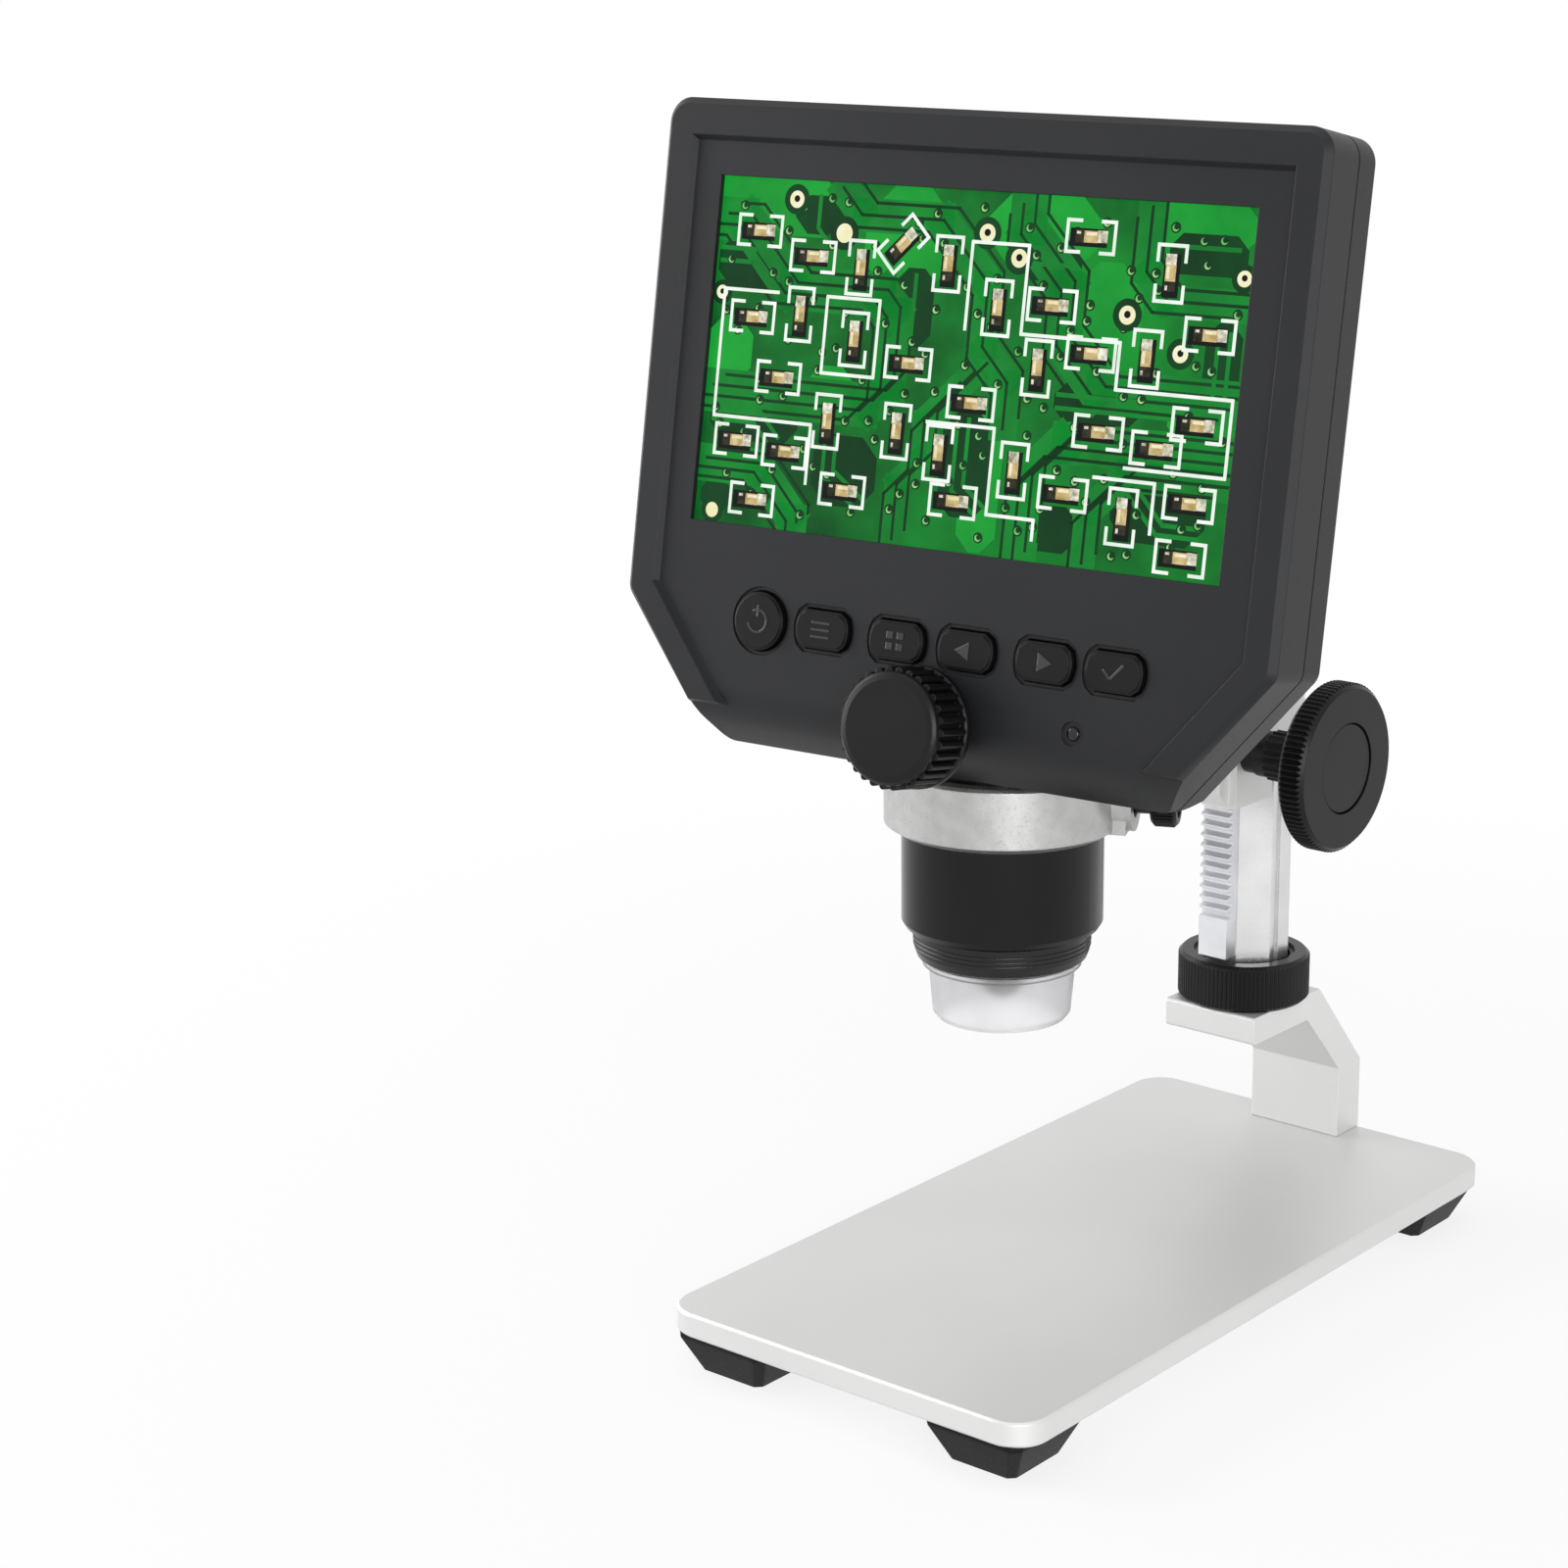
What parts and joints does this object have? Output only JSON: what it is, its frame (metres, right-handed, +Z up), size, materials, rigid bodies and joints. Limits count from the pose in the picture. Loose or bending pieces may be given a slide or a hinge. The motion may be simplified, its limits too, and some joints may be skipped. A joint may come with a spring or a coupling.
{
  "type": "digital microscope",
  "caption": "Desktop digital microscope: a tilted display head clamped in the ring of a rack-and-pinion carriage on an octagonal column over a flat stage.",
  "frame": {"origin": "centre of the stage plate's top face, where a specimen is set down", "axes": "+Z up, front of the microscope towards -Y, column at +Y, +X to the user's right"},
  "size_m": [0.1195, 0.1401, 0.2024],
  "materials": {
    "stage_aluminium": "satin, fine sand-blasted and clear anodised",
    "column_metal": "drawn and satin polished",
    "steel": "plain zinc-plated hardware",
    "rubber": "matt moulded rubber",
    "black_anodised": "knurled and black anodised",
    "black_plastic": "moulded, fine texture",
    "charcoal_shell": "moulded, fine spark-eroded texture",
    "barrel_black": "semi-gloss",
    "picture": "display picture behind clear film",
    "display_frame": "matt",
    "board_green": "solder mask",
    "board_white": "white solder mask",
    "pouch": "foil pouch",
    "lamp": "clear lamp bodies",
    "reflector": "bright plated",
    "lens_black": "matt black, ribbed against stray light",
    "lens_glass": "coated lens",
    "clear_plastic": "frosted clear",
    "lamp_window": "clear light pipe"
  },
  "bodies": {
    "stand": {"base_plate": "stage_aluminium", "base_feet": "rubber", "foot_screws": "steel", "bracket": "stage_aluminium", "bracket_screws": "steel", "column": "column_metal", "column_screw": "steel", "rack": "column_metal", "rack_screws": "steel", "column_cap": "black_plastic"},
    "collar": {"knurled_collar": "black_anodised"},
    "carriage": {"carriage_block": "stage_aluminium", "shaft_bushes": "black_plastic", "tension_screws": "steel", "ring_arm": "stage_aluminium", "arm_screws": "steel"},
    "height_drive": {"pinion_shaft": "steel", "height_knob_right": "black_plastic", "height_knob_left": "black_plastic", "knob_discs": "charcoal_shell"},
    "clamp": {"clamp_screw": "black_plastic"},
    "head": {"front_shell": "charcoal_shell", "rear_shell": "charcoal_shell", "shell_screws": "steel", "display_module": "display_frame", "display_glass": "picture", "key_board": "board_green", "main_board": "board_green", "battery": "pouch", "power_socket": "steel", "card_socket": "steel", "status_lens": "lamp_window", "barrel": "barrel_black", "light_housing": "barrel_black", "lamp_board": "board_white", "lamps": "lamp", "reflector": "reflector", "sensor_board": "board_green"},
    "focus_drive": {"focus_knob": "black_plastic", "focus_shaft": "steel"},
    "lens": {"lens_tube": "lens_black", "objective": "lens_glass"},
    "cap": {"clear_cap": "clear_plastic"},
    "power_key": {"power_key": "black_plastic"},
    "menu_key": {"menu_key": "black_plastic"},
    "mode_key": {"mode_key": "black_plastic"},
    "left_key": {"left_key": "black_plastic"},
    "right_key": {"right_key": "black_plastic"},
    "ok_key": {"ok_key": "black_plastic"}
  },
  "joints": [
    {"name": "carriage_slide", "type": "slide", "parent": "stand", "child": "carriage", "axis": [0, 0, 1], "range_m": [-0.028, 0.058]},
    {"name": "pinion_spin", "type": "hinge", "parent": "carriage", "child": "height_drive", "pos_m": [0, 0.0299, 0.0805], "axis": [1, 0, 0], "range_deg": [-800, 390]},
    {"name": "collar_turn", "type": "hinge", "parent": "stand", "child": "collar", "pos_m": [0, 0.044, 0.035], "axis": [0, 0, 1], "continuous": true},
    {"name": "clamp_turn", "type": "hinge", "parent": "carriage", "child": "clamp", "pos_m": [0, -0.0278, 0.0838], "axis": [0.9063, 0.4226, 0], "range_deg": [0, 360]},
    {"name": "head_swivel", "type": "hinge", "parent": "carriage", "child": "head", "pos_m": [0, -0.0278, 0.084], "axis": [0, 0, 1], "range_deg": [-95, 84]},
    {"name": "focus_turn", "type": "hinge", "parent": "head", "child": "focus_drive", "pos_m": [0.00202, -0.04961, 0.09914], "axis": [0.0909, -0.9803, 0.1754], "range_deg": [-75, 22]},
    {"name": "lens_slide", "type": "slide", "parent": "head", "child": "lens", "axis": [0, 0, 1], "range_m": [-0.0012, 0.004]},
    {"name": "cap_pull", "type": "slide", "parent": "head", "child": "cap", "axis": [0, 0, -1], "range_m": [0, 0.03]},
    {"name": "power_press", "type": "slide", "parent": "head", "child": "power_key", "axis": [0.0909, -0.9803, 0.1754], "range_m": [-0.00045, 0], "stiffness_N_per_m": 400},
    {"name": "menu_press", "type": "slide", "parent": "head", "child": "menu_key", "axis": [0.0909, -0.9803, 0.1754], "range_m": [-0.00045, 0], "stiffness_N_per_m": 400},
    {"name": "mode_press", "type": "slide", "parent": "head", "child": "mode_key", "axis": [0.0909, -0.9803, 0.1754], "range_m": [-0.00045, 0], "stiffness_N_per_m": 400},
    {"name": "left_press", "type": "slide", "parent": "head", "child": "left_key", "axis": [0.0909, -0.9803, 0.1754], "range_m": [-0.00045, 0], "stiffness_N_per_m": 400},
    {"name": "right_press", "type": "slide", "parent": "head", "child": "right_key", "axis": [0.0909, -0.9803, 0.1754], "range_m": [-0.00045, 0], "stiffness_N_per_m": 400},
    {"name": "ok_press", "type": "slide", "parent": "head", "child": "ok_key", "axis": [0.0909, -0.9803, 0.1754], "range_m": [-0.00045, 0], "stiffness_N_per_m": 400}
  ],
  "couplings": [
    {"joint": "pinion_spin", "follows": "carriage_slide", "rad_per_m": -238.1},
    {"joint": "lens_slide", "follows": "focus_turn", "m_per_rad": -0.0030472}
  ]
}
